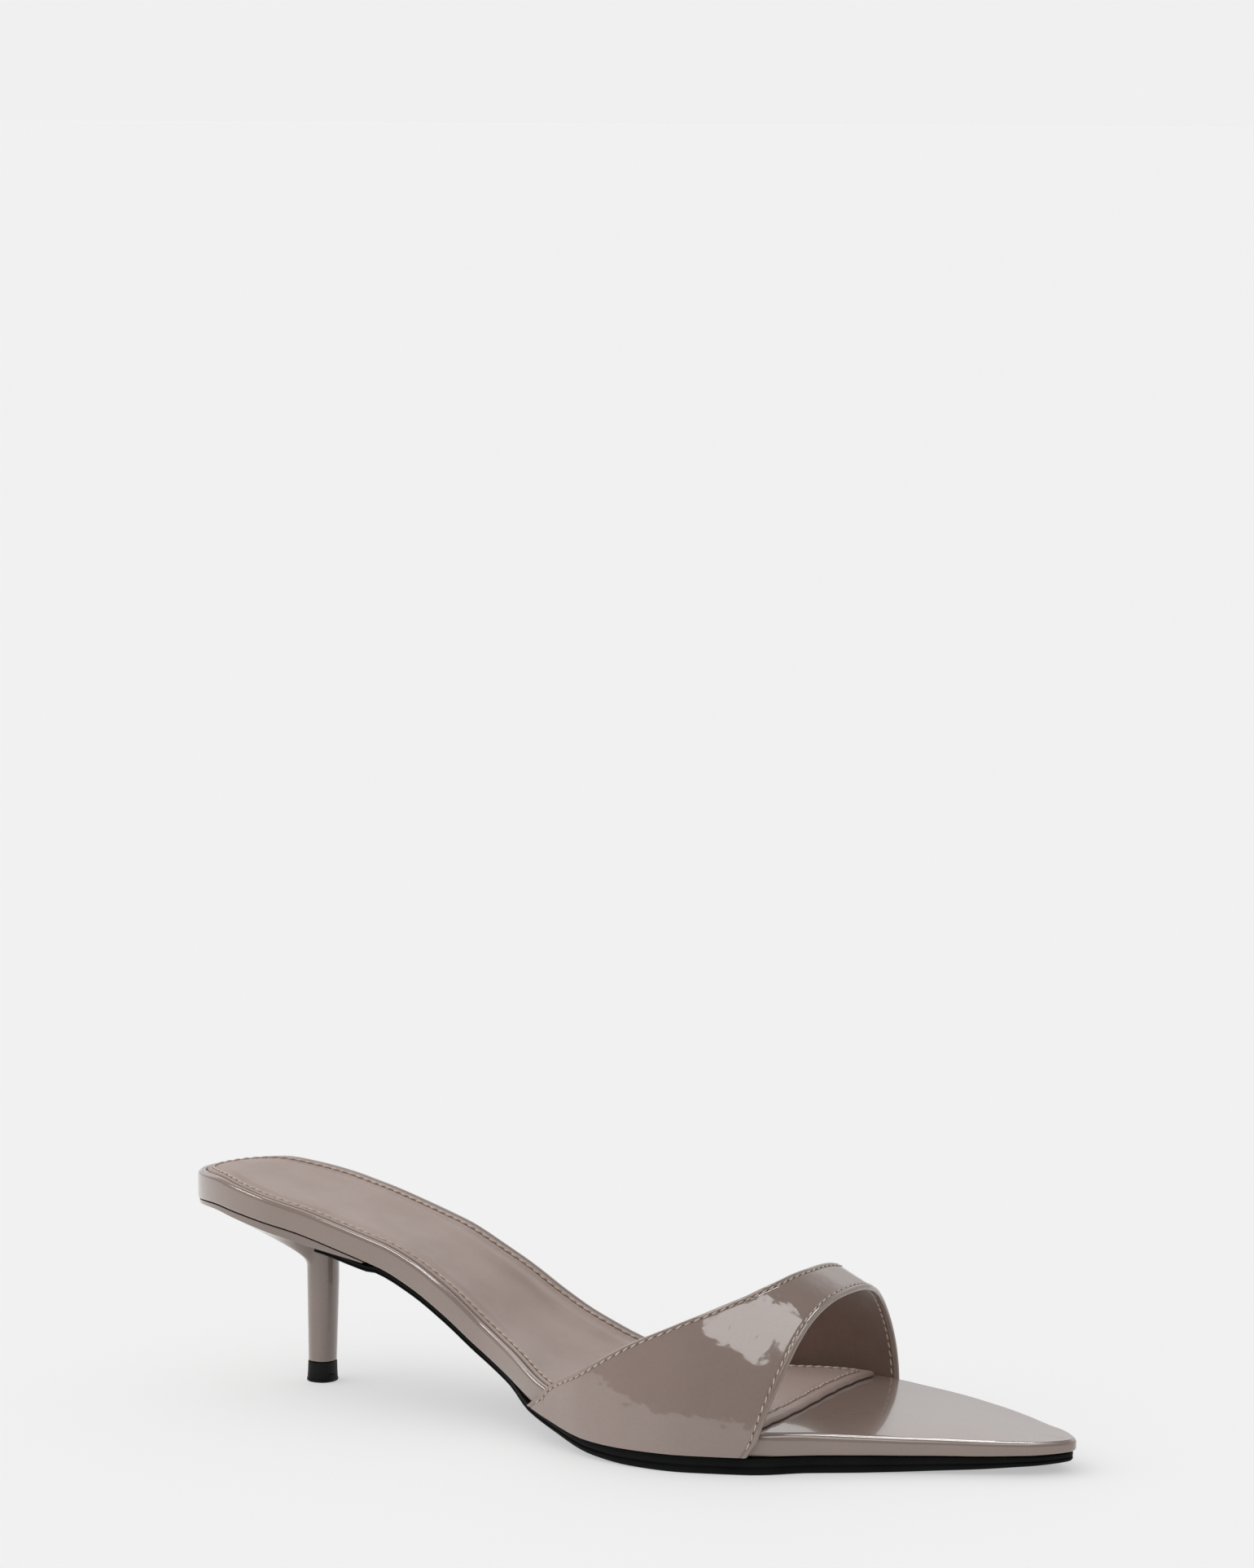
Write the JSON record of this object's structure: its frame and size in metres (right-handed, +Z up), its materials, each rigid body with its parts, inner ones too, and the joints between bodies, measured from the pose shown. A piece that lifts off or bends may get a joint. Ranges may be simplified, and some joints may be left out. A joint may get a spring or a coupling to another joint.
{
  "type": "mid heel mule",
  "caption": "Pointed slip-on mule with a single wide strap over the forefoot, an open toe and heel, a platform edge round a padded sock and a slim stem heel.",
  "frame": {"origin": "middle of the shoe's plan, on the floor it stands on", "axes": "+X from heel to toe, +Z up, -Y towards the outer side of the foot"},
  "size_m": [0.2484, 0.0838, 0.0552],
  "materials": {
    "outsole": "black moulded rubber, satin",
    "platform": "taupe patent leather, glossy",
    "insole": "taupe sock lining, matt, padded",
    "upper": "taupe patent leather, glossy, matt brown lining",
    "heel": "taupe lacquer, glossy",
    "top_piece": "black heel tip, satin"
  },
  "bodies": {
    "root": {"outsole": "outsole", "platform": "platform", "insole": "insole", "upper": "upper", "heel": "heel", "top_piece": "top_piece"}
  },
  "joints": []
}
